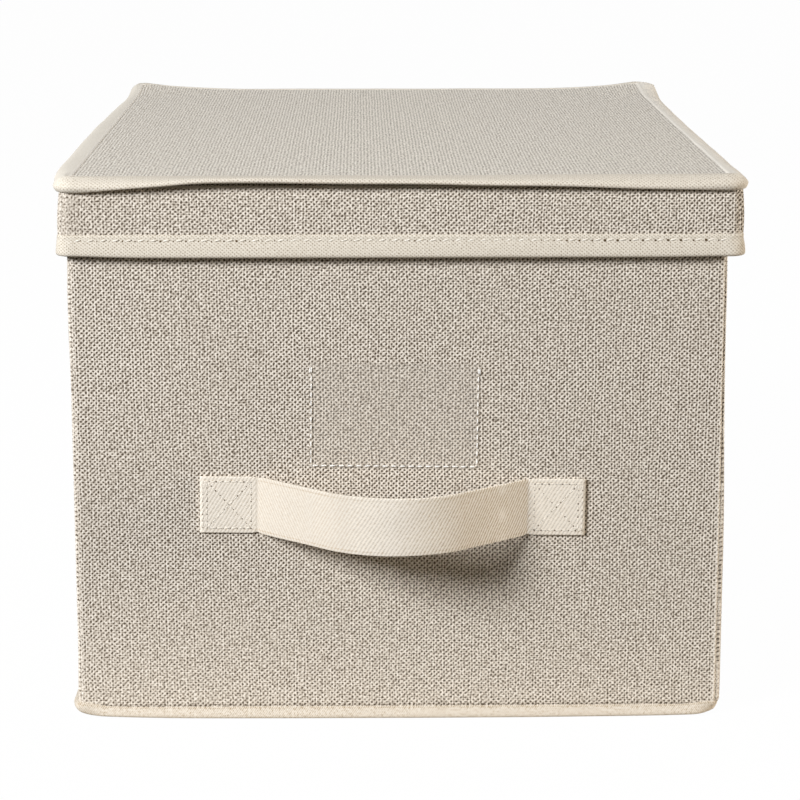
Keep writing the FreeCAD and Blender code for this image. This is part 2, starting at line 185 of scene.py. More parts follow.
floor_bm = bmesh.new()
bmesh.ops.create_grid(floor_bm, x_segments=1, y_segments=1, size=30.0)
floor_mesh = bpy.data.meshes.new("floor")
floor_bm.to_mesh(floor_mesh)
floor_bm.free()
floor = bpy.data.objects.new("floor", floor_mesh)
scene.collection.objects.link(floor)
floor_finish, floor_place = new_finish("floor_white", "Object")
floor_seen = Shade(floor_place.tree.nodes.new("ShaderNodeLightPath").outputs["Is Camera Ray"])
floor_mirrored = floor_seen.other("Is Glossy Ray")
FLOOR_STOPS = [(0.3, (0.88, 0.88, 0.88, 1)), (0.7, (0.9, 0.9, 0.9, 1))]
floor_colour = floor_place.node("ValToRGB", {"stops": FLOOR_STOPS}, {0: floor_place.mottle(40.0, 2.0)})
floor_x = floor_place.node("SeparateXYZ", values={0: floor_place}, output="X")
floor_y = floor_x.other("Y")
footprint_half_x = 0.19
footprint_half_y = 0.254
beyond_x = floor_x.maths("ABSOLUTE") - footprint_half_x
beyond_y = floor_y.maths("ABSOLUTE") - footprint_half_y
floor_away = beyond_x.maths("MAXIMUM", beyond_y)
BOUNCE_STOPS = [
    (0.02, (0.46, 0.41, 0.33, 1)), (0.07, (0.22, 0.18, 0.13, 1)), (0.17, (0.05, 0.044, 0.035, 1)),
]
floor_bounce = floor_place.node("ValToRGB", {"stops": BOUNCE_STOPS}, {0: floor_away})
floor_matt = floor_seen.node("BsdfDiffuse", values={"Color": floor_colour})
floor_glow = floor_seen.node("Emission", values={"Strength": 1.0})
glow_share = 0.985
floor_white = floor_seen.node("MixShader", values={0: glow_share, 1: floor_matt, 2: floor_glow})
floor_dim = floor_seen.node("BsdfDiffuse", values={"Color": floor_bounce})
floor_mix = floor_seen.node(
    "MixShader", values={0: floor_seen.maths("MAXIMUM", floor_mirrored), 1: floor_dim, 2: floor_white}
)
floor_seen.node("OutputMaterial", values={"Surface": floor_mix})
floor_mesh.materials.append(floor_finish)


# Wall cloth: coarse ecru plain weave, stretched over the board of each side and turned over the
# rim. Four cut panels, joined in a rolled seam down each corner.
box_half_x = 0.1905
box_half_y = 0.254
box_corner = 0.005
box_rim = 0.321
wall_foot = 0.0068
cover_thickness = 0.0009
SIDES = {"front": -90, "right": 0, "back": 90, "left": 180}
side_shift = 1.3
least_radius = 0.0004


def ring(half_x, half_y, corner, section, corner_cuts=14, step=0.012, shape=None, closed=False):
    """A band that goes all round a rectangle with round corners, given by its cross-section.

    Each corner of the section is (out, up) from the rectangle. shape may change it from place to
    place: it gets (out, up, place), with the place's facing angle, its distance along the band,
    its distance from the nearest corner's middle ("seam") and where it is on the rectangle, from
    -1 to 1 in x and y. It may set place["open"], how open the cloth's weave is there, and
    place["light"], painted light or shade there: how much paler or darker it is. Each side's
    map starts side_shift away from the last.
    """
    bm = bmesh.new()
    layers = bm.verts.layers
    along, across, facing, bend, open_weave, light = [
        layers.float.new(name) for name in ("along", "across", "facing", "bend", "open", "light")
    ]
    root = layers.float_vector.new("root")
    uv = bm.loops.layers.uv.new("cloth_uv")
    bmesh.ops.create_grid(bm, x_segments=1, y_segments=1, size=1.0)
    bmesh.ops.scale(bm, vec=(half_x, half_y, 1.0), verts=bm.verts[:])
    bmesh.ops.bevel(
        bm, geom=bm.verts[:], offset=corner, offset_type="OFFSET", segments=corner_cuts,
        profile=0.5, affect="VERTICES", material=-1,
    )
    bmesh.ops.delete(bm, geom=bm.faces[:], context="FACES_ONLY")
    for edge in sorted(bm.edges, key=lambda e: -e.calc_length())[:4]:
        bmesh.ops.subdivide_edges(bm, edges=[edge], cuts=max(1, round(edge.calc_length() / step) - 1))
    core_x = half_x - corner
    core_y = half_y - corner
    quarter = corner * math.pi / 2
    seams = [
        0, 2 * core_x + quarter, 2 * (core_x + core_y + quarter), 4 * core_x + 2 * core_y + 3 * quarter
    ]
    whole = 4 * (core_x + core_y + quarter)
    for vertex in bm.verts:
        x = max(-core_x, min(core_x, vertex.co.x))
        y = max(-core_y, min(core_y, vertex.co.y))
        angle = math.atan2(vertex.co.y - y, vertex.co.x - x)
        turn = (angle + 0.75 * math.pi) % math.tau
        passed = [
            core_x + x, 2 * core_x + core_y + y, 3 * core_x + 2 * core_y - x, 4 * core_x + 3 * core_y - y
        ][int(turn / (math.pi / 2))]
        vertex[along] = passed + corner * turn
        vertex[facing] = angle
        vertex[root] = (x, y, 0)

    def put(vertices, out, up, run):
        for vertex in vertices:
            place = {"facing": vertex[facing], "along": vertex[along], "open": 1.0, "light": 0.0}
            place["x"] = vertex[root].x / core_x
            place["y"] = vertex[root].y / core_y
            place["seam"] = min(abs((vertex[along] - s + whole / 2) % whole - whole / 2) for s in seams)
            far, high = shape(out, up, place) if shape else (out, up)
            radius = max(corner + far, least_radius)
            limit_x = half_x + far - radius
            limit_y = half_y + far - radius
            x = max(-limit_x, min(limit_x, vertex[root].x)) + radius * math.cos(vertex[facing])
            y = max(-limit_y, min(limit_y, vertex[root].y)) + radius * math.sin(vertex[facing])
            vertex.co = (x, y, high)
            vertex[across] = run
            vertex[bend] = radius
            vertex[open_weave] = place["open"]
            vertex[light] = place["light"]

    run = 0.0
    put(bm.verts[:], *section[0], run)
    edges = bm.edges[:]
    for before, after in zip(section, section[1:] + (section[:1] if closed else [])):
        made = bmesh.ops.extrude_edge_only(bm, edges=edges)["geom"]
        edges = [item for item in made if isinstance(item, bmesh.types.BMEdge)]
        run += math.hypot(after[0] - before[0], after[1] - before[1])
        put([item for item in made if isinstance(item, bmesh.types.BMVert)], *after, run)
    if closed:
        bmesh.ops.remove_doubles(bm, verts=bm.verts[:], dist=0.000001)
    bmesh.ops.recalc_face_normals(bm, faces=bm.faces[:])
    for face in bm.faces:
        lean_x = sum(math.cos(vertex[facing]) for vertex in face.verts)
        lean_y = sum(math.sin(vertex[facing]) for vertex in face.verts)
        side = round(math.atan2(lean_y, lean_x) / (math.pi / 2)) % 4
        towards = side * math.pi / 2
        vs = [loop.vert[across] for loop in face.loops]
        for loop, v in zip(face.loops, vs):
            turn = (loop.vert[facing] - towards + math.pi) % math.tau - math.pi
            u = loop.vert[root].y * math.cos(towards) - loop.vert[root].x * math.sin(towards)
            v += run if max(vs) - v > run / 2 else 0
            loop[uv].uv = (u + turn * loop.vert[bend] + side_shift * side, v)
    return bm


def keep_side(bm, side):
    """Leaves one side of a band, up to the middles of its two corners."""
    facing = bm.verts.layers.float["facing"]
    towards = math.radians(SIDES[side])
    others = []
    for face in bm.faces:
        lean = sum(math.cos(vertex[facing] - towards) for vertex in face.verts) / len(face.verts)
        if lean < math.cos(math.pi / 4):
            others.append(face)
    bmesh.ops.delete(bm, geom=others, context="FACES")
    return bm


def turn_out(bm, outwards=True):
    """Makes the faces of an open band look away from the box's middle, or towards it."""
    lean = sum(face.normal.x * face.calc_center_median().x + face.normal.y * face.calc_center_median().y
               for face in bm.faces)
    if (lean > 0) != outwards:
        bmesh.ops.reverse_faces(bm, faces=bm.faces[:])
    return bm


def piece(bm, name, finish, body, nodes=(), thickness=0.0):
    """A finished mesh as an object that rides on its body, if it has one, and stands for CAD nodes."""
    mesh = bpy.data.meshes.new(name)
    bm.to_mesh(mesh)
    bm.free()
    mesh.shade_smooth()
    mesh.materials.append(finish)
    made = bpy.data.objects.new(name, mesh)
    scene.collection.objects.link(made)
    if thickness:
        layer = made.modifiers.new("thickness", "SOLIDIFY")
        layer.thickness = thickness
        layer.offset = -1.0
    if body:
        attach(made, body)
    if nodes:
        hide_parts(*nodes)
    return made


warp_pitch = 0.00296
weft_pitch = 0.00282
line_pitch = 0.00203
FIBRES = [(760.0, 150.0, 0.45), (130.0, 800.0, 0.45), (720.0, 760.0, 1.4)]


def weave(uv, strength, speckle, lines=1.0, pits=1.0, wander=0.0022, fine=1.0):
    """Height of a plain weave, about 0.5: dark pits on a staggered lattice between slanted yarns.

    strength is the relief of the pits, fine yarns and warp lines together, and speckle that of the
    fibres. wander is how far the yarns stray, in metres.
    """
    drift = uv.mottle(45.0, 2.0, flat=True, output="Color")
    moved = uv.node("VectorMath", {"operation": "MULTIPLY_ADD"}, {0: drift, 1: (wander, wander, 0), 2: uv})
    u = moved.node("SeparateXYZ", values={0: moved}, output="X")
    v = u.other("Y")
    p = u * (math.tau / warp_pitch)
    q = v * (math.tau / weft_pitch)
    holes = ((p - q).maths("COSINE") * 0.28 + (p + q).maths("COSINE") * 0.18) * pits
    yarns = ((p * 2).maths("COSINE") * 0.16 + (q * 2).maths("COSINE") * 0.15) * fine
    warp = ((u * (math.tau / line_pitch)).maths("COSINE") * 0.12) * lines
    grains = 0
    for size_u, size_v, share in FIBRES:
        grain = uv.node("Mapping", values={"Vector": moved, "Scale": (size_u, size_v, 1.0)})
        grains = grains + (grain.mottle(1.0, 1.0, flat=True) - 0.5) * share
    return 0.5 - (holes + yarns + warp) * strength + grains * speckle


relief_depth = 0.0004


def cloth_shader(uv, height, stops, bump, sheen, roughness=0.9):
    """Connects a woven height to colour, relief and a soft sheen."""
    colour = uv.node("ValToRGB", {"stops": stops}, {0: height})
    relief = uv.node("Bump", values={"Strength": bump, "Distance": relief_depth, "Height": height})
    shader = uv.node("BsdfPrincipled", values={
        "Base Color": colour, "Normal": relief, "Roughness": roughness, "Specular IOR Level": 0.2,
        "Sheen Weight": sheen, "Sheen Roughness": 0.5,
    })
    uv.node("OutputMaterial", values={"Surface": shader})


COVER_STOPS = [
    (0.0, paint(80, 69, 56)),
    (0.22, paint(121, 110, 97)),
    (0.5, paint(190, 181, 169)),
    (0.78, paint(229, 221, 210)),
    (1.0, paint(246, 240, 231)),
]
cover_finish, cover_uv = new_finish("cover_weave")
cover_open = cover_uv.carried("open")
# The cloth's carried "light" is painted light and shade, added to its woven height.
cover_light = cover_uv.carried("light")
cover_patch = cover_uv.mottle(16.0, 1.0, flat=True)
cover_height = weave(cover_uv, cover_open * (0.79 + cover_patch * 0.6), 0.76, wander=0.0019) + cover_light
cloth_shader(cover_uv, cover_height, COVER_STOPS, 0.4, 0.06)
lid_reach = 0.277
# Height of the stitch dent above the base tape, where the walls carry a painted shadow line.
foot_line = 0.0082
seam_width = 0.0006


def ease(share):
    """A smooth step from 0 to 1."""
    share = min(1.0, max(0.0, share))
    return share * share * (3 - 2 * share)


def hump(away, width):
    """1 where away is 0, falling off smoothly over about width to each side."""
    return math.exp(-((away / width) ** 2))


def looks(place):
    """How far a place looks left, right, to the front and to the back, each from 0 to 1."""
    lean_x = math.cos(place["facing"])
    lean_y = math.sin(place["facing"])
    return [max(0.0, lean) ** 2 for lean in (-lean_x, lean_x, -lean_y, lean_y)]


def ripple(place, often, up, up_often, seed):
    """Uneven slack of cloth along and up a band, from -1 to 1."""
    return noise.noise(Vector((place["along"] * often, up * up_often, seed)))


def wall_surface(out, up, place):
    """Rolled seams down the corners, and walls that stand out a little at the foot or lean in."""
    left, right = looks(place)[:2]
    lid_room = 0.25 + 0.75 * min(1, max(0, (lid_reach - up) / 0.015))
    ridge = hump(place["seam"] - 0.0015, seam_width)
    roll = 0.0004 * ridge - 0.0003 * hump(place["seam"], seam_width)
    wave = 0.0004 * ripple(place, 9, up, 11, 3.1)
    flat = min(1, place["seam"] / 0.02)
    stand = left * (0.0007 * ease((0.05 - up) / 0.04) + 0.0007 * ease((up - 0.2) / 0.04) * lid_room)
    stand += right * (0.0018 - 0.0022 * ease((up - 0.1) / 0.13) - 0.0014 * ease((0.0105 - up) / 0.003))
    # Less open weave low on the walls makes them paler there: painted light, as from the floor close by. The
    # weave is also a little more open towards the right.
    open_and_painted_light = 0.96 + 0.04 * place["x"] - 0.33 * (1 - ease(up / 0.13))
    # Closer weave and a painted highlight along the rolled corner seams, the highlight stronger on the right.
    # Closer weave and painted light on the left wall, which faces the key lamp.
    place["open"] = (1 - 0.6 * ridge) * (1 - 0.35 * left) * open_and_painted_light
    place["light"] = (0.42 if place["x"] > 0 else 0.1) * ridge + 0.06 * left
    # Painted light low on the walls, more on the left, as from the floor close by.
    place["light"] += (0.055 - 0.015 * place["x"]) * (1 - ease(up / 0.12))
    # Painted shadow in the stitch dent just above the base tape.
    place["light"] -= 0.22 * hump(up - foot_line, 0.0009)
    return out + (roll + wave * flat) * lid_room + stand, up


wall_levels = 26
wall_top = 0.3185
wall_section = [(0.0, wall_foot), (0.0, 0.0075), (0.0, foot_line), (0.0, 0.0090), (0.0, 0.0100)]
for level in range(1, wall_levels + 1):
    wall_section.append((0.0, wall_foot + (wall_top - wall_foot) * level / wall_levels))
wall_section += [(-0.0003, 0.3198), (-0.0012, 0.3207), (-0.0025, box_rim), (-0.0038, 0.3207)]
wall_section += [(-0.0047, 0.3198), (-0.005, wall_top), (-0.005, 0.312), (-0.005, 0.3055), (-0.005, 0.305)]
for side in SIDES:
    cloth = turn_out(ring(box_half_x, box_half_y, box_corner, wall_section, shape=wall_surface))
    cloth = piece(
        keep_side(cloth, side), side + "_cloth", cover_finish, "box",
        [side + "_cover"], thickness=cover_thickness,
    )


# Lining: thin pressed nonwoven, point-bonded in small diamonds, inside each wall and tucked under
# the turned-in cloth at the rim.
lining_finish, lining_uv = new_finish("nonwoven_lining")
bond_pitch = 0.0011
lining_thickness = 0.0004
lining_u = lining_uv.node("SeparateXYZ", values={0: lining_uv}, output="X")
lining_v = lining_u.other("Y")
lining_a = ((lining_u + lining_v) * (math.pi / bond_pitch)).maths("SINE").maths("ABSOLUTE")
lining_b = ((lining_u - lining_v) * (math.pi / bond_pitch)).maths("SINE").maths("ABSOLUTE")
lining_bond = (lining_a * lining_b).maths("POWER", 0.6)
lining_fibre = lining_uv.mottle(900.0, 3.0)
lining_cloud = lining_uv.mottle(60.0, 3.0)
lining_height = lining_bond * 0.55 + lining_fibre * 0.4 + lining_cloud * 0.25
LINING_STOPS = [(0.2, paint(176, 168, 155)), (0.6, paint(208, 201, 189)), (1.0, paint(224, 218, 207))]
cloth_shader(lining_uv, lining_height, LINING_STOPS, 0.35, 0.05, 0.75)


def lining_surface(out, up, place):
    """Slight slack between the glue lines."""
    wave = ripple(place, 14, up, 12, 8.7)
    return out - 0.0003 * abs(wave) * min(1, place["seam"] / 0.02), up


lining_foot = 0.0075
lining_top = 0.3188
lining_section = [(-0.004, lining_foot + (lining_top - lining_foot) * level / 20) for level in range(21)]
for side in SIDES:
    cloth = ring(box_half_x, box_half_y, box_corner, lining_section, corner_cuts=6, shape=lining_surface)
    cloth = piece(
        keep_side(turn_out(cloth, outwards=False), side), side + "_lining_cloth", lining_finish,
        "box", [side + "_lining"], thickness=lining_thickness,
    )


# Boards: grey pulp board in the walls, the lid and the loose base. Their CAD solids stay, with a
# flecked pressed-pulp finish.
board_finish, board_place = new_finish("pulp_board", "Object")
board_fleck = board_place.mottle(700.0, 4.0)
board_cloud = board_place.mottle(35.0, 3.0)
board_tone = board_fleck * 0.7 + board_cloud * 0.3
BOARD_STOPS = [(0.3, paint(120, 110, 98)), (0.5, paint(163, 153, 139)), (0.7, paint(184, 175, 161))]
cloth_shader(board_place, board_tone, BOARD_STOPS, 0.2, 0.0, 0.95)
for name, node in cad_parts.items():
    if name.endswith("_board"):
        node.data.materials.clear()
        node.data.materials.append(board_finish)


# Base seam: bias tape folded over the joint of walls and base. The box stands on it; it bulges out
# at the left, and tucks under at the right, where it is gathered a little round the corner.
foot_finish, foot_uv = new_finish("foot_tape")
hatch_pitch = 0.0013
foot_u = foot_uv.node("SeparateXYZ", values={0: foot_uv}, output="X")
foot_v = foot_u.other("Y")
foot_hatch = ((foot_u + foot_v * 0.7) * (math.tau / hatch_pitch)).maths("SINE") * 0.2
# The tape's carried "light" is painted shadow along its top edge.
foot_height = weave(foot_uv, 0.16, 0.6, 0.4) + foot_hatch + foot_uv.carried("light")
FOOT_STOPS = [
    (0.0, paint(166, 147, 120)), (0.3, paint(205, 194, 178)), (0.6, paint(223, 215, 203)),
    (1.0, paint(232, 226, 216)),
]
cloth_shader(foot_uv, foot_height, FOOT_STOPS, 0.2, 0.06)
foot_round = 0.016
foot_reach = 0.0078
gather_pitch = 0.0041


def base_splay(out, up, place):
    """The tape follows the walls' corners above, and turns under the box in wider ones."""
    lean_x = math.cos(place["facing"])
    lean_y = math.sin(place["facing"])
    least, most = sorted((abs(lean_x), abs(lean_y)))
    spread = foot_round - box_corner
    tight = foot_round / most - foot_round
    if least / most > spread / foot_round:
        both = spread * (least + most)
        tight = both + math.sqrt(max(0.0, both ** 2 - 2 * spread ** 2 + box_corner ** 2)) - foot_round
    foot = min(1.0, max(0.0, 1 - up / foot_reach))
    left, right, front, back = looks(place)
    stand = left * (0.0028 + 0.0060 * foot - 0.0082 * foot ** 2) + right * (0.0018 - 0.0019 * foot ** 0.7)
    stand += front * (0.0002 + 0.0006 * foot ** 0.7) + back * 0.0010 * foot ** 0.7
    gather = 0.0003 * math.sin(place["along"] * math.tau / gather_pitch) * math.exp(-place["seam"] / 0.03)
    wave = 0.0003 * ripple(place, 16, up, 20, 1.3)
    stand += (gather * right + wave) * min(1, foot * 2)
    fading = math.exp(-place["seam"] / 0.028)
    lift = 0.0012 * fading + 0.0005 * hump(place["seam"], 0.09)
    lift += 0.0009 * fading * (place["x"] < 0) * (place["y"] < 0)
    lift = lift * (0.25 + 0.75 * foot) + (0.0016 * hump(place["seam"], 0.012) + 0.0014 * left) * (1 - foot)
    # Painted shadow along the tape's top, in the dent where it meets the walls.
    place["light"] = -0.22 * hump(up - wall_foot, 0.0007)
    turned = 1.25 * (foot - 0.15) if place["x"] > 0 else 0.95 * (foot - 0.28)
    return out + stand + tight * (1 - min(1.0, max(0.0, turned))), up + lift


base_section = [
    (-0.0006, 0.0077), (-0.0001, 0.0073), (0.0001, 0.0067), (0.0003, 0.0058), (0.0006, 0.0045),
    (0.0009, 0.0030), (0.0010, 0.0017), (0.0007, 0.0006), (0.0, 0.0001), (-0.0010, 0.0001),
    (-0.0018, 0.0005), (-0.0024, 0.0014), (-0.0026, 0.0045), (-0.0026, 0.0070), (-0.0016, 0.0076),
]
base_tape = ring(
    box_half_x, box_half_y, foot_round, base_section, corner_cuts=20, step=0.004, shape=base_splay,
    closed=True,
)
base_tape = piece(base_tape, "base_tape", foot_finish, "box", ["base_binding"])


# Base cloth: a sheet of the lining's nonwoven that closes the box from below. It is laid flat and
# sewn into the base seam all round.
border_width = 0.0006


def map_flat(bm, faces):
    """Lays the cloth's own map flat over faces, in metres."""
    uv = bm.loops.layers.uv.get("cloth_uv") or bm.loops.layers.uv.new("cloth_uv")
    for face in faces:
        for loop in face.loops:
            loop[uv].uv = (loop.vert.co.x, loop.vert.co.y)


def flat_sheet(half_x, half_y, corner, z, step, rise=None):
    """A flat cut sheet with round corners and a close loop round its border, lifted by rise(x, y)."""
    bm = bmesh.new()
    bmesh.ops.create_grid(
        bm, x_segments=round(2 * half_x / step), y_segments=round(2 * half_y / step), size=1.0
    )
    bmesh.ops.scale(bm, vec=(half_x, half_y, 1.0), verts=bm.verts[:])
    for normal in (Vector((1, 0, 0)), Vector((-1, 0, 0)), Vector((0, 1, 0)), Vector((0, -1, 0))):
        border = Vector((normal.x * (half_x - border_width), normal.y * (half_y - border_width), 0))
        bmesh.ops.bisect_plane(
            bm, geom=bm.verts[:] + bm.edges[:] + bm.faces[:], dist=0.00001, plane_co=border, plane_no=normal
        )
    corners = [v for v in bm.verts if abs(v.co.x) > half_x - 1e-5 and abs(v.co.y) > half_y - 1e-5]
    bmesh.ops.bevel(
        bm, geom=corners, offset=corner, offset_type="OFFSET", segments=4, profile=0.5,
        affect="VERTICES", material=-1,
    )
    for vertex in bm.verts:
        vertex.co.z = z + (rise(vertex.co.x, vertex.co.y) if rise else 0.0)
    map_flat(bm, bm.faces)
    return bm


base_cloth = flat_sheet(0.1866, 0.2501, 0.005, 0.0072, step=0.03)
base_cloth = piece(
    base_cloth, "base_cloth", lining_finish, "box", ["base_cover"],
    thickness=cover_thickness,
)


# Loose base board's wrapping: the lining's nonwoven drawn over the board, folded round its edges
# and glued 20 mm in under them. The board drops in loose and keeps the box open.
insert_section = [
    (-0.020, 0.0077), (-0.010, 0.0077), (-0.0008, 0.0077), (-0.0002, 0.0080), (0.0, 0.0088),
    (0.0, 0.0098), (-0.0002, 0.0106), (-0.0008, 0.0110), (-0.003, 0.0110),
]
insert_cloth = ring(0.1835, 0.247, 0.0025, insert_section, corner_cuts=6, step=0.02)
insert_upper = 0.0105
inner = [edge for edge in insert_cloth.edges if edge.is_boundary and edge.verts[0].co.z > insert_upper]
bmesh.ops.edgeloop_fill(insert_cloth, edges=inner)
map_flat(insert_cloth, [face for face in insert_cloth.faces if len(face.verts) > 4])
bmesh.ops.recalc_face_normals(insert_cloth, faces=insert_cloth.faces[:])
insert_cloth = piece(
    insert_cloth, "insert_cloth", lining_finish, "insert", ["insert_wrap"],
    thickness=lining_thickness,
)


# Lid's top: cover cloth laid over the board and lining under it, all three sewn into the bound
# edge. The lid sits a little to the right of the box's middle.
lid_x = 0.00145
lid_top = 0.3255
lid_under = 0.3213
lid_panel_x = 0.1885
lid_panel_y = 0.2515
panel_corner = 0.003
lid_top_finish, lid_top_uv = new_finish("lid_top_weave")
# The lid's top has the wall cloth's colours painted paler and greyer: partly the pits that hide when the top
# is seen from low down, partly painted light from above.
LID_STOPS = [
    (0.0, paint(136, 126, 114)),
    (0.22, paint(172, 163, 151)),
    (0.5, paint(222, 216, 205)),
    (0.78, paint(243, 238, 228)),
    (1.0, paint(249, 245, 237)),
]
lid_top_height = weave(lid_top_uv, 0.85, 1.2, lines=2.2, pits=0.8, wander=0.0011, fine=0.15)
cloth_shader(lid_top_uv, lid_top_height, LID_STOPS, 0.35, 0.1)


def lid_rise(x, y):
    """The lid's cloth has slight slack, sags at the front left and curls up at both back corners."""
    edge = min(lid_panel_x - abs(x), lid_panel_y - abs(y))
    slack = 0.0005 * noise.noise(Vector((x * 8, y * 7, 2.9))) * min(1, max(0, edge) / 0.03)
    curl = min(1, max(0, (abs(x) - 0.105) / 0.08)) ** 2 * min(1, max(0, (y - 0.19) / 0.06)) ** 2
    sag = ease((-y - 0.05) / 0.2) * ease((0.115 - x) / 0.08)
    return slack + 0.0044 * curl - 0.0007 * sag + 0.0007 * ease(y / 0.25)


def onto_lid(bm):
    """Moves a mesh from the box's middle to the lid's."""
    bmesh.ops.translate(bm, vec=(lid_x, 0, 0), verts=bm.verts[:])
    return bm


lid_top_cloth = flat_sheet(lid_panel_x, lid_panel_y, panel_corner, lid_top, step=0.008, rise=lid_rise)
lid_top_cloth = piece(
    onto_lid(lid_top_cloth), "lid_top_cloth", lid_top_finish, "lid", ["lid_top_cover"],
    thickness=cover_thickness,
)
lid_under_cloth = flat_sheet(lid_panel_x, lid_panel_y, panel_corner, lid_under, step=0.03)
bmesh.ops.reverse_faces(lid_under_cloth, faces=lid_under_cloth.faces[:])
lid_under_cloth = piece(
    onto_lid(lid_under_cloth), "lid_under_cloth", lining_finish, "lid", ["lid_top_lining"],
    thickness=lining_thickness,
)


# Lid's skirt: a strip of cover cloth on each side over thin board. It flares a little towards the
# hem, and rolls in at its upper edge to the seam under the bound edge.
lid_half_x = 0.1956
lid_half_y = 0.2586
lid_corner = 0.007
skirt_low = 0.2802
flare_start = 0.292
skirt_seam_width = 0.0012


def skirt_surface(out, up, place):
    """The skirt's flare, its rolled corner seams and slight waves."""
    left, right = looks(place)[:2]
    flare = 0.0011 * (flare_start - up) / 0.0255 * (1 - right - 0.4 * left) if up > flare_start else 0.0
    flare += 0.0010 * (left + right) * math.sin(math.pi * min(1, max(0, (up - 0.283) / 0.034)))
    ridge = hump(place["seam"] - 0.003, skirt_seam_width)
    roll = 0.0002 * ridge - 0.0002 * hump(place["seam"], skirt_seam_width)
    wave = 0.0004 * ripple(place, 18, up, 25, 5.5)
    # Closer, paler weave on the left side and more so at its corners, where the cloth faces the key lamp:
    # painted light.
    painted_light_corner = hump(place["seam"], 0.014) * (place["x"] < 0)
    place["open"] = (0.84 + 0.07 * place["x"]) * (1 - 0.2 * ridge) * (1 - 0.35 * left) * (1 - 0.5 * painted_light_corner)
    shaded = hump(place["seam"], 0.006) * (place["x"] > 0) * (place["y"] < 0)
    # Painted highlight along the corner seams, painted light on the left side, which faces the key lamp, and
    # painted shade at the front right corner.
    place["light"] = 0.04 * ridge + 0.06 * left - 0.07 * shaded
    return out + 0.0006 + flare + roll + wave * min(1, place["seam"] / 0.02), up


skirt_section = [(0.0, 0.2798)] + [(0.0, skirt_low + 0.0368 * level / 8) for level in range(9)]
skirt_section += [(-0.0006, 0.3182), (-0.0023, 0.3193), (-0.0045, 0.3205), (-0.0065, 0.3228)]
for side in SIDES:
    cloth = onto_lid(turn_out(ring(lid_half_x, lid_half_y, lid_corner, skirt_section, shape=skirt_surface)))
    cloth = piece(
        keep_side(cloth, side), "lid_" + side + "_cloth", cover_finish, "lid",
        ["lid_" + side + "_cover"], thickness=cover_thickness,
    )

skirt_lining_section = [(-0.0026, skirt_low + 0.0398 * level / 6) for level in range(7)]
skirt_lining = onto_lid(ring(lid_half_x, lid_half_y, lid_corner, skirt_lining_section, corner_cuts=6))
skirt_lining = piece(
    turn_out(skirt_lining, outwards=False), "lid_skirt_lining_cloth", lining_finish, "lid",
    ["lid_skirt_lining"], thickness=0.0003,
)


# Bound edge round the lid's top: bias tape sewn over the seam allowance, so that it stands out as
# a soft flange. It droops at the front corners, lifts in between, and curls up at the back.
# Each side's stations are (share of its length, how far the outer edge hangs there in mm).
EDGE_DROPS = [
    [(0.0, 6.8), (0.04, 5.0), (0.12, 2.2), (0.2, -0.2), (0.38, -0.1), (0.52, 0.6), (0.7, 2.2),
     (0.85, 4.7), (0.96, 6.0), (1.0, 6.4)],
    [(0.0, 6.4), (0.05, 4.8), (0.12, 5.2), (0.2, 5.1), (0.42, 4.9), (0.7, 4.8), (0.88, 4.0), (1.0, 2.0)],
    [(0.0, 2.0), (0.1, 2.2), (0.3, 1.7), (0.7, 1.6), (0.9, 3.3), (1.0, 8.6)],
    [(0.0, 8.6), (0.08, 6.6), (0.2, 4.4), (0.45, 2.5), (0.8, 2.2), (0.93, 2.6), (1.0, 6.8)],
]
edge_width = 0.013
edge_root_x = 0.1886
edge_root_y = 0.2516
edge_corner = 0.003
root_line = 0.0008
tape_finish, tape_uv = new_finish("binding_tape")
TAPE_STOPS = [
    (0.0, paint(140, 126, 106)),
    (0.3, paint(194, 184, 169)),
    (0.55, paint(222, 215, 202)),
    (1.0, paint(238, 233, 224)),
]
tape_fine = tape_uv.node("Mapping", values={"Vector": tape_uv, "Scale": (1.2, 1.4, 1.0)})
# The tape's carried "light" is painted light and shade, added to its woven height.
tape_height = weave(tape_fine, tape_uv.carried("open") * 0.62, 0.4, 0.3) + tape_uv.carried("light")
cloth_shader(tape_uv, tape_height, TAPE_STOPS, 0.2, 0.06)


def edge_drop(place):
    """How far the flange's outer edge hangs below its root, in metres, along a smooth line."""
    side = int((math.degrees(place["facing"] + 0.75 * math.pi) % 360) / 90)
    share = min(1, max(0, [place["x"], place["y"], -place["x"], -place["y"]][side] / 2 + 0.5))
    stations = EDGE_DROPS[side]
    last = len(stations) - 1
    slopes = []
    for number in range(last + 1):
        (start, low), (end, high) = stations[max(0, number - 1)], stations[min(last, number + 1)]
        slopes.append((high - low) / (end - start))
    number = max(n for n in range(last) if stations[n][0] <= share)
    (start, low), (end, high) = stations[number], stations[number + 1]
    gap = end - start
    t = (share - start) / gap
    drop = low * (1 + 2 * t) * (1 - t) ** 2 + high * t * t * (3 - 2 * t)
    drop += gap * (slopes[number] * t * (1 - t) ** 2 - slopes[number + 1] * t * t * (1 - t))
    return drop / 1000


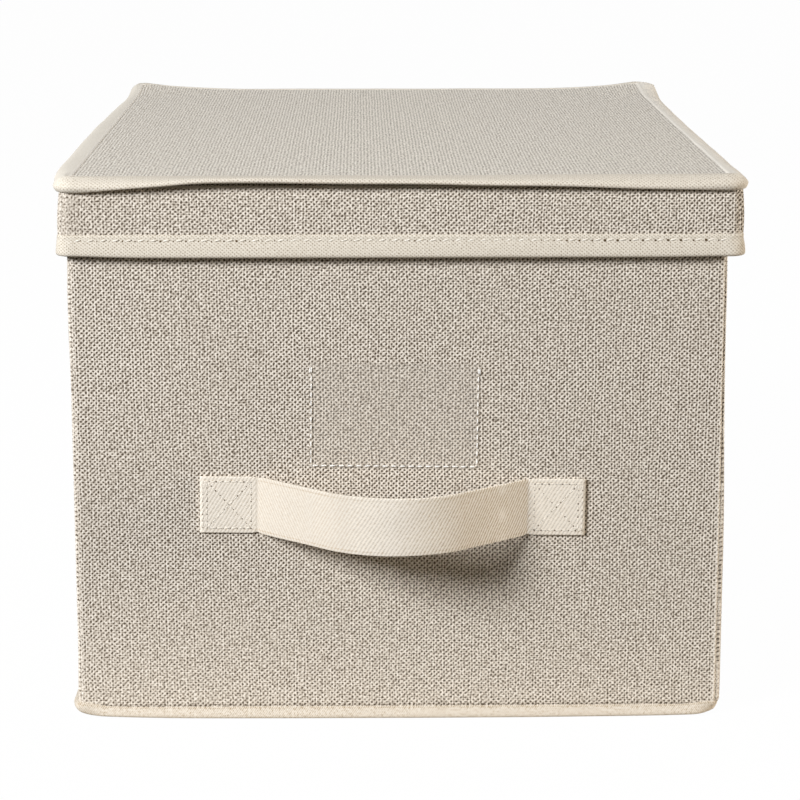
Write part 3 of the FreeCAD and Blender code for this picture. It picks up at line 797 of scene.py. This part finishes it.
def edge_surface(across, lift, place):
    """Bends a flat tape section over in an even arc: across runs along the tape, lift out of it."""
    lean_x = math.cos(place["facing"])
    lean_y = math.sin(place["facing"])
    front = max(0.0, -lean_y)
    share = edge_drop(place) / edge_width
    bend = 2 * share + 0.75 * share ** 3
    bend = bend if abs(bend) > 0.001 else 0.001
    reach = max(0.0, min(across, edge_width))
    angle = bend * reach / edge_width
    out = edge_width / bend * math.sin(angle) + (across - reach) * math.cos(angle)
    fall = edge_width / bend * (1 - math.cos(angle)) + (across - reach) * math.sin(angle)
    wave = 0.0003 * ripple(place, 22, across, 60, 2.2)
    near = hump(place["seam"], 0.014)
    lift = lift * (1 + 0.36 * front + 0.6 * near) if lift < 0 else lift + 0.0008 * near * (across > 0.002)
    root_x = place["x"] * (edge_root_x - edge_corner) + edge_corner * lean_x
    root_y = place["y"] * (edge_root_y - edge_corner) + edge_corner * lean_y
    # At the front's right end: denser pits, and painted shade where the tape turns away from the light.
    open_and_painted_light = front * ease((place["x"] - 0.5) / 0.5)
    place["open"] = 0.1 + front * (0.2 + 0.4 * max(0, across) / edge_width) + 0.1 * open_and_painted_light
    # The side lengths are painted paler, the right more than the left: painted light.
    place["light"] = (0.42 if lean_x > 0 else 0.24) * lean_x ** 4 - 0.02 * open_and_painted_light
    # Painted highlight along the low ridge at the tape's inner edge, which also lifts the shade of its step.
    if across < root_line:
        place["light"] = 0.2 + 0.25 * abs(lean_x)
        place["open"] = 0.05
    high = lid_top + lid_rise(root_x, root_y) - fall + (lift + wave) * math.cos(angle)
    return out + (lift + wave) * math.sin(angle), high


edge_section = [
    (-0.0014, -0.0003), (-0.0012, 0.0000), (-0.0006, 0.0002), (0.0000, 0.0004), (0.0006, 0.0005),
    (0.0012, 0.0005), (0.0020, 0.0005), (0.003, 0.0005), (0.0045, 0.0005), (0.006, 0.0005),
    (0.0075, 0.0005), (0.009, 0.0005), (0.0105, 0.0004), (0.0118, 0.0002), (0.0128, -0.0001),
    (0.0135, -0.0006), (0.0138, -0.0011), (0.0136, -0.0016), (0.0129, -0.0020), (0.0117, -0.0022),
    (0.009, -0.0022), (0.006, -0.0022), (0.003, -0.0022), (0.0, -0.0022),
]
lid_edge = onto_lid(ring(
    edge_root_x, edge_root_y, edge_corner, edge_section, corner_cuts=16, step=0.006, shape=edge_surface,
    closed=True,
))
piece(lid_edge, "lid_edge_tape", tape_finish, "lid", ["lid_edge_binding"])


# Hem: the same tape folded round the skirt's lower edge and held by one row of long stitches,
# which pull it in a little.
hem_low = 0.2787
hem_high = 0.2923
hem_stitch_z = 0.2891
hem_pitch = 0.0072


def hem_surface(out, up, place):
    """Small puckers between the stitches, and a soft bulge under them."""
    across = max(0.0, 1 - abs(up - hem_stitch_z) / 0.0035)
    pucker = 0.00025 * across * math.cos(place["along"] * math.tau / hem_pitch)
    wave = 0.0003 * ripple(place, 20, up, 40, 9.9)
    corner = 0.0005 * hump(place["seam"], 0.006)
    outer_layer = out > -0.001
    low = (0.291 - up) / 0.012 * hump(place["seam"], 0.03) * (place["y"] < 0)
    up += low * (0.0012 if place["x"] < 0 else 0.0005)
    place["open"] = 0.85
    # A little painted shade along the hem's upper edge, where it meets the skirt.
    place["light"] = -0.05 * hump(up - hem_high, 0.0006)
    return out + (0.0005 + pucker + wave + corner) * outer_layer, up


hem_section = [
    (0.0001, hem_high), (0.0006, hem_high - 0.0003), (0.0009, hem_high - 0.0009), (0.0010, 0.2902),
    (0.0009, hem_stitch_z), (0.0012, 0.2879), (0.0014, 0.2865), (0.0017, 0.2845), (0.0019, 0.2825),
    (0.0020, 0.2812), (0.0020, 0.2802), (0.0017, 0.2794), (0.0010, 0.2789), (0.0, hem_low),
    (-0.0014, 0.2789), (-0.0026, 0.2796), (-0.0032, 0.2808), (-0.0032, 0.286), (-0.0032, 0.2915),
    (-0.0028, hem_high),
]
hem_tape = onto_lid(ring(
    lid_half_x, lid_half_y, lid_corner, hem_section, corner_cuts=12, step=0.0018, shape=hem_surface
))
piece(
    turn_out(hem_tape), "lid_hem_tape", tape_finish, "lid", ["lid_hem_binding"],
    thickness=0.0004,
)


# Thread: cream polyester. Each stitch is a short bead of two twisted plies that dips into the
# cloth at both ends. The shade in each needle hole is painted: a small dark brown dome.
thread_finish, thread_place = new_finish("thread", "Object")
THREAD_STOPS = [(0.3, paint(212, 204, 190)), (0.6, paint(244, 240, 232))]
cloth_shader(thread_place, thread_place.mottle(1500.0, 2.0), THREAD_STOPS, 0.3, 0.1, 0.6)
hole_shade_finish, hole_shade_place = new_finish("needle_hole_shade", "Object")
HOLE_SHADE_STOPS = [(0.3, paint(70, 55, 38)), (0.7, paint(112, 94, 70))]
cloth_shader(hole_shade_place, hole_shade_place.mottle(2000.0, 1.0), HOLE_SHADE_STOPS, 0.2, 0.0, 0.95)


def bead(bm, start, end, out, width, height):
    """One stitch from start to end on a face that looks along out."""
    line = end - start
    across = out.cross(line.normalized())
    turn = Matrix((line.normalized(), across, out)).transposed().to_4x4()
    size = Matrix.Diagonal((line.length / 2, width / 2, height, 1.0))
    bmesh.ops.create_uvsphere(
        bm, u_segments=8, v_segments=5, radius=1.0, matrix=Matrix.Translation((start + end) / 2) @ turn @ size
    )


def dot(bm, place, out, width, height):
    """Painted shade of a needle hole: a small low dome on a face that looks along out."""
    turn = out.to_track_quat("Z", "Y").to_matrix().to_4x4()
    size = Matrix.Diagonal((width / 2, width / 2, height, 1.0))
    bmesh.ops.create_uvsphere(
        bm, u_segments=8, v_segments=4, radius=1.0, matrix=Matrix.Translation(place) @ turn @ size
    )


def row(start, end, pitch, length):
    """The ends of evenly spaced stitches from start to end."""
    line = end - start
    count = max(1, int(line.length / pitch))
    across = line.normalized()
    for number in range(count):
        middle = start + line * ((number + 0.5) / count)
        yield middle - across * (length / 2), middle + across * (length / 2)


hem_thread = bmesh.new()
hem_hole_shades = bmesh.new()
hem_stitch_length = 0.0042
slant = Vector((0, 0, 0.0005))
chance = random.Random(7)
for number in range(4):
    half_length = (edge_root_x, edge_root_y)[number % 2]
    face = (lid_half_y, lid_half_x)[number % 2] + 0.0014
    turn = Matrix.Rotation(math.radians(90 * number), 3, "Z")
    out = turn @ Vector((0, -1, 0))
    first = turn @ Vector((-half_length, -face, hem_stitch_z))
    last = turn @ Vector((half_length, -face, hem_stitch_z))
    for start, end in row(first, last, hem_pitch, hem_stitch_length):
        bead(hem_thread, start - slant, end + slant, out, 0.0011, 0.0005)
        hole = start - (end - start) * 0.28 - slant
        stretched = 0.4 + 0.6 * ease((start - first).length / 0.06)
        dot(hem_hole_shades, hole, out, chance.uniform(0.0010, 0.0022) * stretched, 0.0004)
piece(onto_lid(hem_thread), "lid_hem_stitches", thread_finish, "lid", ["lid_hem_thread"])
piece(onto_lid(hem_hole_shades), "lid_hem_needle_hole_shades", hole_shade_finish, "lid")


# Handle: one length of cotton webbing, sewn down flat at both ends and bowed out between them. It
# bends just in front of the wall when the grip swings.
handle_half_span = 0.08
crest_radius = 0.060
crease_radius = 0.003
flank = math.radians(41.0)
handle_middle = Vector((-0.0035, -0.254, 0.131))
handle_turn = Matrix.Translation(handle_middle) @ Matrix.Rotation(math.radians(0.65), 4, "Y")
webbing_half = 0.017
webbing_thickness = 0.0018
crest_run = crest_radius * flank
flank_run = (handle_half_span - (crest_radius + crease_radius) * math.sin(flank)) / math.cos(flank)
crease_run = crease_radius * flank
handle_bow = (crest_radius + crease_radius) * (1 - math.cos(flank)) + flank_run * math.sin(flank)
tab_start = crest_run + flank_run + crease_run
strap_half = tab_start + 0.033
selvedge_line = 0.0150
crest_cuts = 14


def strap_line(run):
    """Middle line of the strap at a distance from its centre: along the wall, out, and heading."""
    side = -1 if run < 0 else 1
    run = abs(run)
    if run < crest_run:
        angle = run / crest_radius
        along, out = crest_radius * math.sin(angle), handle_bow - crest_radius * (1 - math.cos(angle))
    elif run < crest_run + flank_run:
        angle = flank
        rest = run - crest_run
        along = crest_radius * math.sin(flank) + rest * math.cos(flank)
        out = handle_bow - crest_radius * (1 - math.cos(flank)) - rest * math.sin(flank)
    elif run < tab_start:
        angle = flank - (run - crest_run - flank_run) / crease_radius
        along = handle_half_span - crease_radius * math.sin(angle)
        out = crease_radius * (1 - math.cos(angle))
    else:
        angle = 0.0
        along, out = handle_half_span + run - tab_start, 0.0
    return side * along, out, side * angle


strap = bmesh.new()
bmesh.ops.create_grid(strap, x_segments=2, y_segments=14, size=1.0)
bmesh.ops.scale(strap, vec=(strap_half, webbing_half, 1.0), verts=strap.verts[:])
cuts = [number * crest_run / crest_cuts for number in range(1, crest_cuts + 1)]
while cuts[-1] < strap_half - 0.003:
    cuts.append(cuts[-1] + 0.002)
cuts += [tab_start - 0.0006 * number for number in range(-2, 6)]
for cut in cuts + [-cut for cut in cuts]:
    bmesh.ops.bisect_plane(
        strap, geom=strap.verts[:] + strap.edges[:] + strap.faces[:], dist=0.00002,
        plane_co=(cut, 0, 0), plane_no=(1, 0, 0),
    )
map_flat(strap, strap.faces)
bmesh.ops.solidify(strap, geom=strap.faces[:], thickness=webbing_thickness)
depths = [vertex.co.z for vertex in strap.verts]
bmesh.ops.translate(strap, vec=(0, 0, -(max(depths) + min(depths)) / 2), verts=strap.verts[:])
rims = []
for edge in strap.edges:
    on_rim = all(abs(abs(vertex.co.y) - webbing_half) < 1e-5 for vertex in edge.verts)
    if on_rim and abs(edge.verts[0].co.z - edge.verts[1].co.z) < 1e-6:
        rims.append(edge)
bmesh.ops.bevel(
    strap, geom=rims, offset=0.0006, offset_type="OFFSET", segments=3, profile=0.5, affect="EDGES",
    material=-1,
)
for vertex in strap.verts:
    run, up, depth = vertex.co
    along, out, heading = strap_line(run)
    pinch = 1 - 0.035 * hump(abs(run) - tab_start + 0.001, 0.002)
    selvedge = 1.0 - 0.3 * hump(abs(up) - selvedge_line, 0.0006)
    free = min(1, max(0, (tab_start - abs(run)) / 0.02))
    slack = 0.0006 * noise.noise(Vector((run * 30, up * 45, 4.0)))
    slack += 0.0005 * noise.noise(Vector((run * 70, up * 60, 7.0))) if run > 0.04 else 0.0
    depth = depth * selvedge + slack * free
    place = Vector((along + depth * math.sin(heading), -0.0009 - out - depth * math.cos(heading), up * pinch))
    vertex.co = handle_turn @ place
bmesh.ops.recalc_face_normals(strap, faces=strap.faces[:])

webbing_finish, web_uv = new_finish("cotton_webbing")
twill_pitch = 0.0022
twill_slope = 0.62
pick_pitch = 0.0013
fold_highlight_place = 0.074
web_u = web_uv.node("SeparateXYZ", values={0: web_uv}, output="X")
web_v = web_u.other("Y")
web_drift = web_uv.mottle(60.0, 2.0, flat=True) * 0.0014
web_rise = ((web_u + web_drift - web_v * twill_slope) * (math.tau / twill_pitch)).maths("SINE")
web_fall = ((web_u + web_drift + web_v * twill_slope) * (math.tau / twill_pitch)).maths("SINE")
web_turned = ((-0.05 - web_u) * 120).held()
web_turned = web_turned * ((web_u + tab_start) * 900).held()
# The twill is weaker on the left flank and stronger on the right flank, where the light grazes its ridges;
# there their colour is partly painted shade.
web_strong = ((web_u + 0.03) * 20).held(1.6) + 0.4
web_strong = web_strong + ((-tab_start - web_u) * 900).held(0.6)
web_strong = web_strong - ((web_u - tab_start) * 900).held(1.1)
# Two pale patches across the right root are a painted highlight, where a fold would catch the light.
web_fold_highlight = (1 - (web_u - fold_highlight_place).maths("ABSOLUTE") / 0.005).maths("MAXIMUM", 0)
web_fold_highlight = web_fold_highlight * ((web_v * 400 + 0.6).maths("COSINE") + 0.3).maths("MAXIMUM", 0)
web_ridges = (web_rise * (1 - web_turned) + web_fall * web_turned) * web_strong
web_yarn = (web_v * (math.tau / pick_pitch)).maths("SINE") * (web_u * (math.tau / twill_pitch)).maths("SINE")
web_edge = 1 - ((web_v.maths("ABSOLUTE") - selvedge_line).maths("ABSOLUTE") / 0.0005).maths("MINIMUM", 1)
web_grain = web_uv.node("Mapping", values={"Vector": web_uv, "Scale": (420.0, 700.0, 1.0)})
web_grain = web_grain.mottle(1.0, 2.0, flat=True)
web_soft = web_strong.maths("MINIMUM", 1)
# Painted light: the left flank, which faces the key lamp, takes a greyer, less yellow tone, and the right
# root takes its painted highlight.
web_lit = (web_soft - 1) * 0.34 + web_fold_highlight * 0.2
web_yarn = (web_yarn * 0.07 + (web_grain - 0.5) * 0.5) * web_soft
web_height = 0.5 + web_lit + web_ridges * 0.2 + web_yarn - web_edge * 0.14
WEB_STOPS = [
    (0.0, paint(186, 162, 130)), (0.3, paint(216, 209, 198)), (0.5, paint(239, 230, 216)),
    (1.0, paint(250, 246, 240)),
]
cloth_shader(web_uv, web_height, WEB_STOPS, 0.4, 0.0)
strap = piece(
    strap, "handle_strap", webbing_finish, None,
    ["handle_end_left", "handle_end_right", "handle_grip"],
)
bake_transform(strap, "box", "handle", start=(-0.0035, -0.260, 0.131), end=(-0.0035, -0.276, 0.131))


# Handle's stitches: a rectangle and two diagonals through each tab, with a second line at the
# tab's outer end. The thread has the webbing's colour, and the shade in its needle holes is
# painted brown.
tab_thread = bmesh.new()
tab_hole_shades = bmesh.new()
front_out = Vector((0, -1, 0))
tab_pitch = 0.0036
tab_stitch_length = 0.0024
for side in (-1, 1):
    near = side * (handle_half_span + 0.003)
    far = side * (handle_half_span + 0.0313)
    end = side * (handle_half_span + 0.0288)
    top = webbing_half - 0.003
    lines = [
        ((near, top), (far, top)), ((near, -top), (far, -top)), ((near, -top), (near, top)),
        ((far, -top), (far, top)), ((end, -top), (end, top)),
        ((near, -top), (end, top)), ((near, top), (end, -top)),
    ]
    for (x0, z0), (x1, z1) in lines:
        first = handle_turn @ Vector((x0, -webbing_thickness, z0))
        last = handle_turn @ Vector((x1, -webbing_thickness, z1))
        for start, stop in row(first, last, tab_pitch, tab_stitch_length):
            bead(tab_thread, start, stop, front_out, 0.0006, 0.00025)
            hole = start - (stop - start) * 0.25
            dot(tab_hole_shades, hole, front_out, chance.uniform(0.0004, 0.0010), 0.0002)
piece(tab_thread, "handle_stitches", thread_finish, "box", ["handle_thread"])
piece(tab_hole_shades, "handle_needle_hole_shades", hole_shade_finish, "box")


# Label pocket: clear soft film, sewn to the front cloth on three sides with white thread and open
# at the top. It is tipped a little about the middle of its foot.
pocket_turn = Matrix.Translation((-0.0028, -0.254, 0.1533)) @ Matrix.Rotation(math.radians(0.7), 4, "Y")
film_half_x = 0.05
film_half_z = 0.0315
pocket_seam = 0.0485
film = bmesh.new()
bmesh.ops.create_grid(film, x_segments=25, y_segments=16, size=1.0)
bmesh.ops.scale(film, vec=(film_half_x, film_half_z, 1.0), verts=film.verts[:])
map_flat(film, film.faces)
for vertex in film.verts:
    x, y, z = vertex.co
    inside = min(1, 3 * max(0, 1 - abs(x) / pocket_seam) * max(0, min(1, (y + 0.030) / 0.02)))
    out = 0.0003 + (0.0005 + 0.0003 * noise.noise(Vector((x * 25, y * 25, 0.4)))) * inside
    vertex.co = pocket_turn @ Vector((x, -out, y + film_half_z))
bmesh.ops.recalc_face_normals(film, faces=film.faces[:])
film_finish, film_start = new_finish("clear_film")
film_haze = film_start.mottle(90.0, 3.0)
film_rough = film_haze * 0.1 + 0.22
film_bump = film_start.node("Bump", values={"Strength": 0.1, "Distance": relief_depth, "Height": film_haze})
film_shader = film_start.node("BsdfPrincipled", values={
    "Base Color": paint(222, 216, 207), "Roughness": film_rough, "Alpha": 0.075, "Normal": film_bump,
})
film_start.node("OutputMaterial", values={"Surface": film_shader})
piece(film, "pocket_film", film_finish, "box", ["label_pocket"], thickness=0.0002)

white_finish, white_place = new_finish("white_thread", "Object")
WHITE_STOPS = [(0.3, paint(226, 223, 219)), (0.6, paint(250, 250, 249))]
cloth_shader(white_place, white_place.mottle(1500.0, 2.0), WHITE_STOPS, 0.3, 0.1, 0.5)
pocket_thread = bmesh.new()
lock_seam = pocket_seam + 0.0008
pocket_rows = [
    (-pocket_seam, 0.002, -pocket_seam, 0.061), (pocket_seam, 0.002, pocket_seam, 0.061),
    (-pocket_seam, 0.0015, pocket_seam, 0.0015), (-lock_seam, 0.055, -lock_seam, 0.0615),
    (lock_seam, 0.055, lock_seam, 0.0615),
]
pocket_pitch = 0.0049
pocket_stitch_length = 0.0037
for x0, z0, x1, z1 in pocket_rows:
    first = pocket_turn @ Vector((x0, -0.0006, z0))
    last = pocket_turn @ Vector((x1, -0.0006, z1))
    for start, stop in row(first, last, pocket_pitch, pocket_stitch_length):
        bead(pocket_thread, start, stop, front_out, 0.0010, 0.0005)
piece(pocket_thread, "pocket_stitches", white_finish, "box", ["pocket_thread"])
